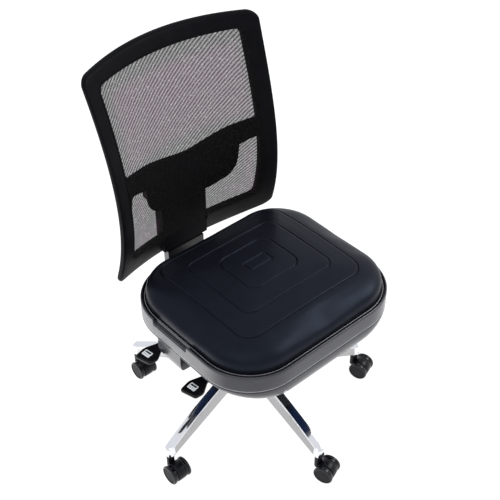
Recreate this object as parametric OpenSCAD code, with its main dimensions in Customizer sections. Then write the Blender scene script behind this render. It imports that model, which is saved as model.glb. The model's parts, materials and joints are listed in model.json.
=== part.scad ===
// Five-star office swivel chair: mesh back, moulded cushion in a plastic tray, gas lift, twin-wheel casters.
// Millimetres. +Z is up, the front of the chair faces -Y, and the origin is on the floor under the column.

/* [Base] */
// Distance from the column axis to each caster stem
stem_circle_r = 305; // [280:1:330]
// Direction of the first leg, in degrees from +X
first_leg_angle = -96; // [-180:1:180]
// Height of the leg's top face at the hub
leg_top_hub_z = 152; // [145:1:158]
// Height of the leg's top face at the tip
leg_top_tip_z = 95; // [92:1:105]

/* [Casters] */
// Wheel diameter
wheel_d = 50; // [44:1:54]
// Width of one wheel of the pair
wheel_w = 13; // [10:0.5:16]
// Horizontal distance from the stem to the wheel axle
caster_trail = 24; // [16:1:26]
// Caster stem diameter
stem_d = 11; // [10:0.5:11]

/* [Gas lift] */
// Travel of the seat height adjustment
height_travel = 100; // [60:5:100]
// Diameter of the outer column
column_d = 50; // [48:1:50]
// Diameter of the gas spring's cylinder
gas_cylinder_d = 28; // [26:1:28]

/* [Seat] */
// Width of the seat tray
tray_width = 516; // [480:2:540]
// Depth of the seat tray
tray_depth = 446; // [420:2:470]
// Corner radius of the tray in plan
tray_corner_r = 131; // [110:1:150]
// Height of the tray's top edge
rim_top_z = 431; // [428:1:436]
// Height of the joint between the tray's lower shell and its rim
tray_split_z = 385; // [375:1:395]
// Height of the cushion's crown
cushion_top_z = 498; // [485:1:510]

/* [Back] */
// Half of the outer width of the back at its middle
back_half_w = 235; // [220:1:250]
// Half of the width of the mesh windows
window_half_w = 193; // [185:1:200]
// Height of the middle of the back's top edge
back_top_z = 949; // [930:1:970]
// Thickness of the back frame
frame_t = 18; // [14:1:20]
// Travel of the back height adjustment
back_travel = 60; // [40:5:60]

/* [Hidden] */
$fn = 96;

slack = 0.05;              // radial clearance of every running fit
sheet_t = 4;               // thickness of pressed steel

// Casters
legs = 5;
wheel_r = wheel_d / 2;
axle_r = 3;
hood_w = 24;
hood_r = wheel_r - 1;
wheel_gap = 0.7;
caster_angles = [19, 18, 10, 0, 0];
boss_r = 9.5;
boss_top_z = 62;
stem_r = stem_d / 2;
leg_tip_under_z = 68;

// Column
column_r = column_d / 2;
column_wall = 2.5;
column_foot_z = 62;
column_top_z = 235;
gas_r = gas_cylinder_d / 2;
gas_foot_z = 210 - height_travel;
gas_top_z = 291;
rod_r = 5;
piston_top_z = 230;

// Mechanism
house_half_w = 85;
house_front_y = -165;
house_rear_y = 58;
house_foot_z = 262;
tray_foot_z = 320;
plate_z = tray_foot_z - sheet_t;
pivot_y = 80;
pivot_z = 290;
pivot_pin_r = 6;
ear_inner_x = 52;
ear_outer_x = 60;
button_r = 4;
button_top_z = 300;
lever_z = 304.5;
lever_rod_r = 4;
lever_pin_r = 2;
height_pivot = [-32, 0];
height_neck = [-232, 43.5];
recline_pivot = [-60, -107];
recline_neck = [-218, -107];
paddle_foot_z = 302;
paddle_top_z = 311.4;
label_t = 0.6;
label_w = 17;
label_l = 22;
knob_y = -110;
bolt_spots = [[-60, -140], [60, -140], [-75, 35], [75, 35]];

// Seat
tray_mid_y = -68;
tray_wall = 4;
rim_wall = 5;
ledge_z = 412;
ledge_in = 26;
pan_t = 6;
cushion_foot_z = ledge_z + pan_t;
cushion_gap = 13;
skin_t = 2.5;
pocket_front_y = -97;
pocket_rear_y = 25;
pocket_foot_z = 415;
arm_mount_front_y = -66;
arm_mount_rear_y = 16;
arm_x = 226;
arm_spacing = 50;
arm_hole_r = 4;
arm_hole_depth = 18;

// Back
foot_half_w = 68;
foot_front_y = 224;
foot_rear_y = 252;
foot_low_z = 450 - back_travel;
foot_top_z = 548;
upright_half_w = 50;
upright_front_y = 231;
upright_t = 10;
upright_top_z = 500;
bend_r = 20;
frame_front_t = 8;
window_low_z = 453;
spine_t = 14;
mesh_gap = 0.6;            // in front of the frame, to clear its flat facets
mesh_t = 1.2;

// ---------- shape functions ----------

// One loop of a rounded rectangle, centred on the seat, as points at height z
function seat_loop(hx, hy, r, z, steps = 12) = [
    for (q = [0:3], i = [0:steps])
        let (a = 90 * q + 90 * i / steps,
             sx = (q == 0 || q == 3) ? 1 : -1,
             sy = (q < 2) ? 1 : -1)
        [sx * (hx - r) + r * cos(a), tray_mid_y + sy * (hy - r) + r * sin(a), z]
];

// Closed solid skinned through a list of loops with equal point counts, from bottom to top
module skin(loops) {
    n = len(loops[0]);
    m = len(loops);
    sides = [
        for (j = [0:m - 2], i = [0:n - 1])
            let (a = j * n + i, b = j * n + (i + 1) % n)
            each [[a, b + n, b], [a, a + n, b + n]]
    ];
    low_cap = [[for (i = [0:n - 1]) i]];
    high_cap = [[for (i = [n - 1:-1:0]) (m - 1) * n + i]];
    polyhedron([for (l = loops) each l], concat(sides, low_cap, high_cap), convexity = 6);
}

// Closed ring swept through sections with equal point counts, the last section joining the first
module ring_skin(sections) {
    n = len(sections[0]);
    m = len(sections);
    faces = [
        for (j = [0:m - 1], i = [0:n - 1])
            let (k = (j + 1) % m, a = j * n + i, b = j * n + (i + 1) % n,
                 c = k * n + i, d = k * n + (i + 1) % n)
            each [[a, b, d], [a, d, c]]
    ];
    polyhedron([for (s = sections) each s], faces, convexity = 8);
}

// Solid inside the tray's outer surface, grown outwards by g. The sides slope in under the split line,
// and the front and rear stay upright for longer.
module tray_solid(g, top_z) {
    hx = tray_width / 2 + g;
    hy = tray_depth / 2 + g;
    drop = tray_split_z - tray_foot_z;
    // each step: height as a share of the drop, inset of the sides, inset of the front and rear
    steps = [[0, 80, 44], [0.04, 70, 33], [0.14, 57, 22], [0.3, 41, 12], [0.46, 28, 6], [0.64, 15, 2],
             [0.82, 5, 0], [0.94, 1, 0]];
    skin(concat(
        [for (s = steps)
            seat_loop(hx - s[1], hy - s[2], tray_corner_r + g - (s[1] + s[2]) / 2,
                      tray_foot_z - g + drop * s[0])],
        [seat_loop(hx, hy, tray_corner_r + g, top_z)]
    ));
}

// Depth of the back's front surface at a width x and height z
function back_y(x, z) =
    let (t = (z - 680) / 250)
    202.4 + 38.7 * t + 49.7 * t * t - 13 * t * t * t - 0.0010257 * x * x;

// Outline of the back in its own width and height, with corner radius r, as [x, z] points
function back_outline(half_w, low, low_k, top, top_k, flare_top, flare_low, r, steps = 6, side = 12) =
    let (half_h = (top - low) / 2,
         ru = r / half_w,
         rv = r / half_h,
         square = [
            for (q = [0:3])
                let (sx = (q == 0 || q == 3) ? 1 : -1, sy = (q < 2) ? 1 : -1)
                each concat(
                    [for (i = [0:steps])
                        let (a = 90 * q + 90 * i / steps)
                        [sx * (1 - ru) + ru * cos(a), sy * (1 - rv) + rv * sin(a)]],
                    [for (i = [1:side - 1])
                        let (f = 1 - 2 * i / side)
                        q == 0 ? [f * (1 - ru), 1] :
                        q == 1 ? [-1, f * (1 - rv)] :
                        q == 2 ? [-f * (1 - ru), -1] : [1, -f * (1 - rv)]]
                )
         ])
    [for (p = square)
        let (x = p[0] * (half_w + (p[1] > 0 ? flare_top : flare_low) * p[1] * p[1]),
             s = (p[1] + 1) / 2)
        [x, (1 - s) * (low + low_k * x * x) + s * (top + top_k * x * x)]];

outer_line = back_outline(back_half_w - 1, 360, 0.00109, back_top_z, -0.000104, 8, 8, 22);
inner_line = back_outline(window_half_w, window_low_z, 0.00068, back_top_z - 37.4, -0.000042, 4, -3, 16);
mesh_line = [for (i = [0:len(inner_line) - 1]) 0.84 * inner_line[i] + 0.16 * outer_line[i]];

// Crossbar with its lumbar panel: half width, lower edge and upper edge
crossbar_edges = [
    [0, 546, 675], [20, 546.5, 676.5], [46, 547.5, 681], [71, 550.5, 686], [89, 556, 690], [100, 560, 692],
    [108, 563.5, 693.7], [116, 569.5, 695], [123, 577, 696.2], [128, 584, 696.8], [131.5, 592, 697.2],
    [134, 601, 697.4], [136.5, 615, 697.6], [138.5, 630, 697.7], [140.5, 642, 697.8], [150, 645.5, 699],
    [160, 648.5, 700.2], [170, 651.5, 701.3], [180, 653.5, 702.5], [184, 653, 703], [187, 650.5, 703.8],
    [189.5, 646, 705.5], [191.5, 638, 709], [195, 628, 716]
];

// A curved plate that follows the back, between two depths behind its front surface
module back_plate(xs, lows, highs, d0, d1, rows = 8) {
    skin([
        for (i = [0:len(xs) - 1])
            let (x = xs[i], lo = lows[i], hi = highs[i])
            concat(
                [for (j = [0:rows]) let (z = lo + (hi - lo) * j / rows) [x, back_y(x, z) + d1, z]],
                [for (j = [rows:-1:0]) let (z = lo + (hi - lo) * j / rows) [x, back_y(x, z) + d0, z]]
            )
    ]);
}

// ---------- base ----------

function stem_spot(k) = [for (f = [cos(first_leg_angle + 72 * k), sin(first_leg_angle + 72 * k)]) stem_circle_r * f];

module leg() {
    tip_r = 14;
    arch_z = (leg_top_hub_z + leg_top_tip_z) / 2 + 7;
    hull() {
        translate([20, 0, 0]) rotate([90, 0, 90]) linear_extrude(1)
            polygon([[-17, 118], [17, 118], [12, leg_top_hub_z], [-12, leg_top_hub_z]]);
        translate([170, 0, 0]) rotate([90, 0, 90]) linear_extrude(1)
            polygon([[-15.5, 95], [15.5, 95], [11.6, arch_z], [-11.6, arch_z]]);
        translate([stem_circle_r, 0, leg_tip_under_z]) cylinder(r = tip_r, h = 12, $fn = 32);
        translate([stem_circle_r, 0, leg_tip_under_z]) cylinder(r = 11, h = leg_top_tip_z - leg_tip_under_z, $fn = 32);
    }
}

module star_base() {
    color("silver") difference() {
        union() {
            for (k = [0:legs - 1]) rotate(first_leg_angle + 72 * k) leg();
            rotate_extrude() polygon([[0, 64], [33, 64], [36, 80], [36, 140], [32, 156], [0, 156]]);
        }
        translate([0, 0, 50]) cylinder(r = column_r, h = 120);
        for (k = [0:legs - 1]) translate(concat(stem_spot(k), 60)) cylinder(r = stem_r, h = 28);
        // open channel along the underside of each leg
        for (k = [0:legs - 1]) rotate(first_leg_angle + 72 * k) translate([0, 7, 0]) rotate([90, 0, 0])
            linear_extrude(14) polygon([[46, 60], [stem_circle_r - 20, 60], [stem_circle_r - 20, leg_top_tip_z - 6],
                                        [46, leg_top_hub_z - 14]]);
    }
}

module column_outer_tube() {
    color("#202226") difference() {
        translate([0, 0, column_foot_z]) cylinder(r = column_r, h = column_top_z - column_foot_z);
        translate([0, 0, column_foot_z + sheet_t]) cylinder(r = column_r - column_wall, h = 200);
        translate([0, 0, column_foot_z - 1]) cylinder(r = rod_r + slack, h = 20);
    }
}

module column_bush() {
    color("#303236") difference() {
        union() {
            translate([0, 0, column_top_z - 45]) cylinder(r = column_r - column_wall, h = 45);
            translate([0, 0, column_top_z]) cylinder(r = column_r + 1, h = 5);
        }
        translate([0, 0, column_top_z - 60]) cylinder(r = gas_r + slack, h = 80);
    }
}

module thrust_bearing() {
    color("silver") translate([0, 0, column_foot_z + sheet_t]) difference() {
        cylinder(r = 14, h = 6);
        translate([0, 0, -1]) cylinder(r = rod_r + slack, h = 8);
    }
}

module caster_stems() {
    color("silver") for (k = [0:legs - 1]) translate(concat(stem_spot(k), 0)) {
        translate([0, 0, 40]) cylinder(r = stem_r, h = 48);
        translate([0, 0, boss_top_z + 0.4]) cylinder(r = 9, h = leg_tip_under_z - boss_top_z - 0.4);
    }
}

// ---------- casters ----------

module caster_place(k) {
    translate(concat(stem_spot(k), 0)) rotate(caster_angles[k]) children();
}

module caster_yoke(k) {
    color("#15161a") caster_place(k) difference() {
        union() {
            translate([-hood_w / 2, -caster_trail, wheel_r]) rotate([0, 90, 0]) cylinder(r = hood_r, h = hood_w);
            translate([0, 0, 27]) cylinder(r = boss_r, h = boss_top_z - 27);
        }
        translate([-20, -caster_trail - 30, -1]) cube([40, 60, 7]);
        translate([0, 0, 39.5]) cylinder(r = stem_r + slack, h = 30);
        translate([-20, -caster_trail, wheel_r]) rotate([0, 90, 0]) cylinder(r = axle_r, h = 40);
    }
}

module caster_axle(k) {
    half = hood_w / 2 + wheel_w - 2.5;
    color("silver") caster_place(k)
        translate([-half, -caster_trail, wheel_r]) rotate([0, 90, 0]) cylinder(r = axle_r, h = 2 * half);
}

module caster_wheel(k, side) {
    in = hood_w / 2 + wheel_gap;
    out = in + wheel_w;
    color("#2a2b30") caster_place(k) translate([0, -caster_trail, wheel_r]) rotate([0, 90, 0])
        mirror([0, 0, side < 0 ? 1 : 0]) rotate_extrude() polygon([
            [axle_r + slack, in], [wheel_r - 1.5, in], [wheel_r, in + 1.5], [wheel_r, out - 2],
            [wheel_r - 2, out], [wheel_r - 4, out], [wheel_r - 5, out - 1], [0, out - 1],
            [0, out - 3], [axle_r + slack, out - 3]
        ]);
}

// ---------- gas lift ----------

module piston_rod() {
    color("silver") {
        translate([0, 0, column_foot_z - 6]) cylinder(r = rod_r, h = piston_top_z - column_foot_z + 2);
        translate([0, 0, column_foot_z + sheet_t + 6.2]) cylinder(r = 9, h = 3);
        translate([0, 0, piston_top_z - 8]) cylinder(r = gas_r - 2 - slack, h = 8);
    }
}

module retaining_clip() {
    color("dimgray") translate([0, 0, column_foot_z - 2.3]) difference() {
        cylinder(r = 9, h = 2);
        translate([0, 0, -1]) cylinder(r = rod_r, h = 4);
    }
}

module gas_spring_cylinder() {
    color("#1b1c20") difference() {
        translate([0, 0, gas_foot_z]) cylinder(r = gas_r, h = gas_top_z - gas_foot_z);
        translate([0, 0, gas_foot_z + 8]) cylinder(r = gas_r - 2, h = gas_top_z - gas_foot_z - 24);
        translate([0, 0, gas_foot_z - 1]) cylinder(r = rod_r + slack, h = 20);
        translate([0, 0, gas_top_z - 12]) cylinder(r = button_r + slack, h = 20);
    }
}

module gas_release_button() {
    color("silver") translate([0, 0, gas_top_z - 8]) cylinder(r = button_r, h = button_top_z - gas_top_z + 8);
}

// ---------- mechanism ----------

module lever_ears(p) {
    for (side = [-1, 1]) translate([p[0] - 8, p[1] + side * 7.5 - 1.5, 298]) cube([16, 3, 19]);
}

module mechanism_housing() {
    color("#1d1e22") difference() {
        union() {
            difference() {
                translate([-house_half_w, house_front_y, house_foot_z])
                    cube([2 * house_half_w, house_rear_y - house_front_y, plate_z - house_foot_z + 1]);
                translate([-house_half_w + sheet_t, house_front_y + sheet_t, house_foot_z - 1])
                    cube([2 * (house_half_w - sheet_t), house_rear_y - house_front_y - 2 * sheet_t,
                          plate_z - house_foot_z + 1]);
            }
            translate([-95, house_front_y - 7, plate_z]) cube([190, house_rear_y - house_front_y + 42, sheet_t]);
            translate([0, 0, house_foot_z]) cylinder(r = 20, h = gas_top_z - 1 - house_foot_z);
            translate([-house_half_w + 2, -5, house_foot_z]) cube([2 * house_half_w - 4, 10, 24]);
            lever_ears(height_pivot);
            lever_ears(recline_pivot);
            for (side = [-1, 1]) translate([side * (ear_inner_x + 4) - 4, house_rear_y - 6, pivot_z - 16])
                cube([8, 40, 44]);
        }
        translate([0, 0, house_foot_z - 1]) cylinder(r = gas_r, h = 48);
        translate([-100, pivot_y, pivot_z]) rotate([0, 90, 0]) cylinder(r = pivot_pin_r, h = 200);
        for (p = [height_pivot, recline_pivot])
            translate([p[0], p[1] + 20, lever_z]) rotate([90, 0, 0]) cylinder(r = lever_pin_r, h = 40);
        translate([-house_half_w - 2, 1, 298]) cube([8, 22, 17]);
        translate([-house_half_w - 2, recline_pivot[1] - 8, 293]) cube([8, 16, 19]);
        for (p = bolt_spots) translate([p[0], p[1], plate_z - 1]) cylinder(r = 3.2, h = 6);
    }
}

module mechanism_cover() {
    color("#141519") difference() {
        translate([-house_half_w, house_front_y, house_foot_z - 5])
            cube([2 * house_half_w, house_rear_y - house_front_y, 5]);
        translate([0, 0, house_foot_z - 6]) cylinder(r = 20, h = 8);
        translate([0, knob_y, house_foot_z - 6]) cylinder(r = 5 + slack, h = 8);
    }
}

module tilt_hinge_pin() {
    color("silver") {
        translate([-ear_outer_x - 2, pivot_y, pivot_z]) rotate([0, 90, 0])
            cylinder(r = pivot_pin_r, h = 2 * ear_outer_x + 4);
        for (side = [-1, 1]) translate([side * (ear_outer_x + 2) - 1.5, pivot_y, pivot_z]) rotate([0, 90, 0])
            cylinder(r = 9, h = 3);
    }
}

// Torsion spring wound round the hinge sleeve, with one leg forward to the housing
function coil_point(i, per_turn) = [
    -30 + 60 * i / (6 * per_turn),
    pivot_y + 17 * cos(360 * i / per_turn + 180),
    pivot_z + 17 * sin(360 * i / per_turn + 180)
];
module recline_spring() {
    wire_r = 2.5;
    per_turn = 24;
    count = 6 * per_turn;
    color("dimgray") skin([
        for (i = [0:count])
            let (p = coil_point(i, per_turn), a = 360 * i / per_turn + 180)
            [for (w = [0:7])
                let (u = wire_r * cos(45 * w), v = wire_r * sin(45 * w))
                [p[0] + v, p[1] + u * cos(a), p[2] + u * sin(a)]]
    ]);
}

module lever_pivot_pins() {
    color("silver") for (p = [height_pivot, recline_pivot])
        translate([p[0], p[1] + 11, lever_z]) rotate([90, 0, 0]) cylinder(r = lever_pin_r, h = 22);
}

module seat_bolts() {
    color("silver") for (p = bolt_spots) translate([p[0], p[1], plate_z]) {
        translate([0, 0, -4]) cylinder(r = 5.5, h = 4, $fn = 6);
        translate([0, 0, -4]) cylinder(r = 3, h = 20);
    }
}

module seat_nuts() {
    color("silver") for (p = bolt_spots) translate([p[0], p[1], tray_foot_z + tray_wall]) difference() {
        cylinder(r = 6, h = 5, $fn = 6);
        translate([0, 0, -1]) cylinder(r = 3, h = 8);
    }
}

// ---------- levers ----------

// Straight rod between two points at one height
module rod_between(a, b, z, r) {
    d = b - a;
    translate([a[0], a[1], z]) rotate([0, 90, atan2(d[1], d[0])]) cylinder(r = r, h = norm(d));
}

module lever_pin_bore(p) {
    translate([p[0], p[1] + 20, lever_z]) rotate([90, 0, 0]) cylinder(r = lever_pin_r + slack, h = 40);
}

module height_lever_rod() {
    color("#2b2c30") difference() {
        union() {
            rod_between([6, 0], height_pivot, lever_z, lever_rod_r);
            translate([height_pivot[0], 0, lever_z]) sphere(r = lever_rod_r + 1.2);
            rod_between(height_pivot, height_neck + [-16, 3.5], lever_z, lever_rod_r);
        }
        lever_pin_bore(height_pivot);
    }
}

module recline_lever_rod() {
    color("#2b2c30") difference() {
        rod_between(recline_pivot + [14, 0], recline_neck - [16, 0], lever_z, lever_rod_r);
        lever_pin_bore(recline_pivot);
    }
}

// Flat hand paddle: a narrow neck that widens to a blade with a slanted end
module paddle(neck) {
    translate([neck[0], neck[1], 0]) hull() {
        translate([0, 0, paddle_foot_z]) linear_extrude(paddle_top_z - paddle_foot_z - 2)
            polygon([[6, 11], [0, 11.5], [-31, 19.5], [-62, 12], [-50, -30], [-27, -31.5], [0, -11.5], [6, -11]]);
        translate([0, 0, paddle_foot_z]) linear_extrude(paddle_top_z - paddle_foot_z)
            polygon([[6, 9], [0, 9.5], [-31, 17], [-59, 10.5], [-48.5, -28], [-27, -29], [0, -9.5], [6, -9]]);
    }
}

module height_lever_paddle() {
    color("#101116") difference() {
        paddle(height_neck);
        rod_between(height_neck + [20, -4.35], height_neck + [-16, 3.5], lever_z, lever_rod_r);
    }
}

module recline_lever_paddle() {
    color("#101116") difference() {
        paddle(recline_neck);
        rod_between(recline_neck + [20, 0], recline_neck - [16, 0], lever_z, lever_rod_r);
    }
}

module lever_label(neck) {
    color("white") translate([neck[0] - 36, neck[1] - 3, paddle_top_z]) rotate(8)
        translate([-label_w / 2, -label_l / 2, 0]) cube([label_w, label_l, label_t]);
}

module height_lever_label() { lever_label(height_neck); }
module recline_lever_label() { lever_label(recline_neck); }

module tension_knob() {
    color("#101116") difference() {
        translate([0, knob_y, house_foot_z - 32]) cylinder(r = 24, h = 26);
        translate([0, knob_y, house_foot_z - 24]) cylinder(r = 5, h = 30);
        for (a = [0:30:330]) translate([27 * cos(a), knob_y + 27 * sin(a), house_foot_z - 40])
            cylinder(r = 5, h = 40);
    }
}

module tension_screw() {
    color("silver") translate([0, knob_y, house_foot_z - 24]) cylinder(r = 5, h = 60);
}

// ---------- seat ----------

module seat_tray_lower() {
    color("#2c2d33") difference() {
        tray_solid(0, tray_split_z);
        difference() {
            tray_solid(-tray_wall, tray_split_z + 1);
            translate([-400, -400, 0]) cube([800, 800, tray_foot_z + tray_wall]);
        }
        for (p = bolt_spots) translate([p[0], p[1], tray_foot_z - 1]) cylinder(r = 3.2, h = 8);
    }
}

module seat_tray_rim() {
    hx = tray_width / 2;
    hy = tray_depth / 2;
    // inset from the tray's side, and height, from the foot of the inner wall round to the outer wall
    section = [
        [rim_wall, tray_split_z], [rim_wall, ledge_z - 6], [ledge_in, ledge_z - 4], [ledge_in, ledge_z],
        [11.5, ledge_z], [11.5, rim_top_z - 3], [10, rim_top_z - 1], [8, rim_top_z - 3],
        [rim_wall, rim_top_z - 3], [4, rim_top_z], [1.5, rim_top_z], [0, rim_top_z - 2], [0, tray_split_z]
    ];
    loops = [for (s = section) seat_loop(hx - s[0], hy - s[0], tray_corner_r - s[0], s[1])];
    color("#34353b") difference() {
        ring_skin(loops);
        for (side = [-1, 1]) translate([side * (hx + 2) - 6, pocket_front_y, pocket_foot_z])
            cube([12, pocket_rear_y - pocket_front_y, 40]);
    }
}

module seat_pan() {
    inset = 12;
    color("#3a342c") translate([0, 0, ledge_z]) linear_extrude(pan_t)
        polygon([for (p = seat_loop(tray_width / 2 - inset, tray_depth / 2 - inset, tray_corner_r - inset, 0))
            [p[0], p[1]]]);
}

// The cushion's shape, shrunk on every side by t
module cushion_solid(t) {
    hx = tray_width / 2 - cushion_gap - t;
    hy = tray_depth / 2 - cushion_gap - t;
    rise = cushion_top_z - cushion_foot_z - 2 * t;
    // each step: inset from the side, height as a share of the rise
    steps = [[0, 0], [0, 0.18], [1, 0.34], [5, 0.5], [12, 0.62], [26, 0.73], [48, 0.81], [85, 0.9], [130, 0.96],
             [175, 0.995]];
    skin([
        for (s = steps)
            seat_loop(hx - s[0], hy - s[0], max(20, tray_corner_r - cushion_gap - t - s[0]),
                      cushion_foot_z + t + rise * s[1])
    ]);
}

module seat_foam() {
    color("#d8cfae") cushion_solid(skin_t);
}

module seat_skin() {
    color("#1a1b22") difference() {
        cushion_solid(0);
        cushion_solid(skin_t);
    }
}

// Solid block that squares off the tray's side, with two threaded holes in its foot for an armrest
module arm_mount(side) {
    length = arm_mount_rear_y - arm_mount_front_y;
    mid_y = (arm_mount_rear_y + arm_mount_front_y) / 2;
    color("#8c8c92") difference() {
        translate([0, arm_mount_rear_y, 0]) rotate([90, 0, 0]) mirror([side < 0 ? 1 : 0, 0, 0])
            linear_extrude(length) polygon([[200, 321], [244, 323], [249, 328], [252, 342], [252, 384], [200, 384]]);
        tray_solid(0.1, 400);
        for (dy = [-arm_spacing / 2, arm_spacing / 2])
            translate([side * arm_x, mid_y + dy, 310]) cylinder(r = arm_hole_r, h = arm_hole_depth + 12);
    }
}

// ---------- back ----------

module back_bracket() {
    bend_y = upright_front_y - bend_r;
    bend_z = pivot_z - 5 + upright_t + bend_r;
    color("#3a3b40") difference() {
        union() {
            translate([-ear_inner_x + 0.5, pivot_y, pivot_z]) rotate([0, 90, 0])
                cylinder(r = 12, h = 2 * ear_inner_x - 1);
            translate([-upright_half_w, pivot_y, pivot_z - 5]) cube([2 * upright_half_w, bend_y - pivot_y, upright_t]);
            intersection() {
                translate([-upright_half_w, bend_y, bend_z]) rotate([0, 90, 0]) difference() {
                    cylinder(r = bend_r + upright_t, h = 2 * upright_half_w);
                    translate([0, 0, -1]) cylinder(r = bend_r, h = 2 * upright_half_w + 2);
                }
                translate([-upright_half_w, bend_y, pivot_z - 6]) cube([2 * upright_half_w, 60, bend_z - pivot_z + 6]);
            }
            translate([-upright_half_w, upright_front_y, bend_z])
                cube([2 * upright_half_w, upright_t, upright_top_z - bend_z]);
        }
        translate([-60, pivot_y, pivot_z]) rotate([0, 90, 0]) cylinder(r = pivot_pin_r + slack, h = 120);
        // room for the spring round the middle of the sleeve
        translate([-34, pivot_y, pivot_z]) rotate([0, 90, 0]) difference() {
            cylinder(r = 21, h = 68);
            translate([0, 0, -1]) cylinder(r = 12, h = 70);
        }
    }
}

module bracket_cover() {
    color("#9a9aa0") difference() {
        translate([-57, 225, 322]) cube([114, 18, 62]);
        translate([-upright_half_w, upright_front_y, 300]) cube([2 * upright_half_w, upright_t, 120]);
    }
}

module back_spine() {
    xs = [for (i = [-10:10]) 13.5 * i];
    color("#131419") difference() {
        union() {
            back_plate(xs, [for (x = xs) abs(x) > 95 ? 612 : 566], [for (x = xs) 655],
                       frame_front_t + 0.2, frame_front_t + spine_t);
            translate([-60, 214, foot_top_z - 2]) cube([120, 34, 56]);
            translate([-foot_half_w, foot_front_y, foot_low_z])
                cube([2 * foot_half_w, foot_rear_y - foot_front_y, foot_top_z - foot_low_z]);
        }
        translate([-upright_half_w - 0.4, upright_front_y - 0.4, foot_low_z - 1])
            cube([2 * upright_half_w + 0.8, upright_t + 0.8, upright_top_z - foot_low_z + 6]);
    }
}

module back_frame() {
    // share of the way from the outer to the inner outline, and depth behind the front surface
    section = [[0, 5], [0.06, 1], [0.2, 0], [0.85, 0], [0.97, 1], [1, 3], [1, frame_t - 3], [0.93, frame_t],
               [0.15, frame_t], [0, frame_t - 4]];
    last = len(crossbar_edges) - 1;
    edges = concat([for (i = [last:-1:1]) let (e = crossbar_edges[i]) [-e[0], e[1], e[2]]], crossbar_edges);
    color("#0f1014") difference() {
        union() {
            ring_skin([
                for (i = [0:len(outer_line) - 1]) [
                    for (s = section)
                        let (p = (1 - s[0]) * outer_line[i] + s[0] * inner_line[i])
                        [p[0], back_y(p[0], p[1]) + s[1], p[1]]
                ]
            ]);
            back_plate([for (e = edges) e[0]], [for (e = edges) e[1]], [for (e = edges) e[2]], 0, frame_front_t);
        }
        translate([-foot_half_w - 0.2, 190, foot_low_z - 1]) cube([2 * foot_half_w + 0.4, 100, 80]);
    }
}

module back_mesh() {
    n = len(mesh_line);
    rings = 8;
    middle = [0, (window_low_z + back_top_z - 37.4) / 2];
    front = [
        for (r = [1:rings], i = [0:n - 1])
            let (p = middle + (mesh_line[i] - middle) * r / rings)
            [p[0], back_y(p[0], p[1]), p[1]]
    ];
    points = concat(
        [for (p = front) p - [0, mesh_gap + mesh_t, 0]],
        [for (p = front) p - [0, mesh_gap, 0]],
        [for (gap = [mesh_gap + mesh_t, mesh_gap]) [0, back_y(0, middle[1]) - gap, middle[1]]]
    );
    shift = rings * n;
    faces = concat(
        [for (r = [0:rings - 2], i = [0:n - 1])
            let (a = r * n + i, b = r * n + (i + 1) % n)
            each [[a, b, b + n], [a, b + n, a + n],
                  [a + shift, b + n + shift, b + shift], [a + shift, a + n + shift, b + n + shift]]],
        [for (i = [0:n - 1])
            let (b = (i + 1) % n, c = (rings - 1) * n)
            each [[i, 2 * shift, b], [i + shift, b + shift, 2 * shift + 1],
                  [c + i, c + b, c + b + shift], [c + i, c + b + shift, c + i + shift]]]
    );
    color("#5c585e") polyhedron(points, faces, convexity = 6);
}

module back_screws() {
    color("dimgray") for (x = [-110, -45, 45, 110]) {
        y = back_y(x, 636);
        translate([x, y + frame_front_t + spine_t, 636]) rotate([90, 0, 0]) {
            translate([0, 0, -2.5]) cylinder(r = 4.5, h = 3);
            cylinder(r = 2, h = 18);
        }
    }
}

// ---------- the assembly ----------

star_base();
column_outer_tube();
column_bush();
thrust_bearing();
caster_stems();
piston_rod();
retaining_clip();
gas_spring_cylinder();
gas_release_button();
mechanism_housing();
mechanism_cover();
tilt_hinge_pin();
recline_spring();
lever_pivot_pins();
seat_bolts();
seat_nuts();
seat_tray_lower();
seat_tray_rim();
seat_pan();
seat_foam();
seat_skin();
arm_mount(1);  // arm_mount_left
arm_mount(-1);  // arm_mount_right
height_lever_rod();
height_lever_paddle();
height_lever_label();
recline_lever_rod();
recline_lever_paddle();
recline_lever_label();
tension_knob();
tension_screw();
back_bracket();
bracket_cover();
back_spine();
back_frame();
back_mesh();
back_screws();
for (k = [0:legs - 1]) {
    name = str("caster_", k + 1);
    caster_yoke(k);
    caster_axle(k);
    caster_wheel(k, 1);
    caster_wheel(k, -1);
}
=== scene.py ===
"""An armless office chair: mesh back, grooved cushion in a deep tray, gas lift, star base, casters."""
import json
import math

import bmesh
import bpy
import numpy as np
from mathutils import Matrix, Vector
from mathutils.kdtree import KDTree


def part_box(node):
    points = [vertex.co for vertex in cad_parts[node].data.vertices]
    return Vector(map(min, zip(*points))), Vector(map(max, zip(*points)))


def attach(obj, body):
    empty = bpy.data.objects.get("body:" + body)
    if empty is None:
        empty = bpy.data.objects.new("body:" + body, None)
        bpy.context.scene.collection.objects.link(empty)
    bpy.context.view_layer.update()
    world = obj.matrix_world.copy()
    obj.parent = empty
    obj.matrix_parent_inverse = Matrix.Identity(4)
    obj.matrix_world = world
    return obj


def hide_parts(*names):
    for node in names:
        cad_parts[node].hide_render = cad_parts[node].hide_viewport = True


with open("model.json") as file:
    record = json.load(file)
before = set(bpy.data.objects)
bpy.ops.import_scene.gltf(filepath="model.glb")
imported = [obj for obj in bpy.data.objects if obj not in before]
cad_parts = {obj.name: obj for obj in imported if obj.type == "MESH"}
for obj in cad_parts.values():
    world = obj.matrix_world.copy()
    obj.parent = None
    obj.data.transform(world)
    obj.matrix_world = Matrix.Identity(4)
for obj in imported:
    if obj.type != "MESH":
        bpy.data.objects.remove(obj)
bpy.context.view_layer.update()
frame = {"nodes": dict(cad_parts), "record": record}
MM = 0.001


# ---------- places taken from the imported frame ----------

def node_box(node):
    """The node's lowest corner, highest corner and middle, in metres."""
    low, high = (np.array(corner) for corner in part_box(node))
    return low, high, (low + high) / 2


def joint_of(name):
    """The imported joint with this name."""
    return next(j for j in frame["record"]["behaviour"]["joints"] if j["name"] == name)


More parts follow.
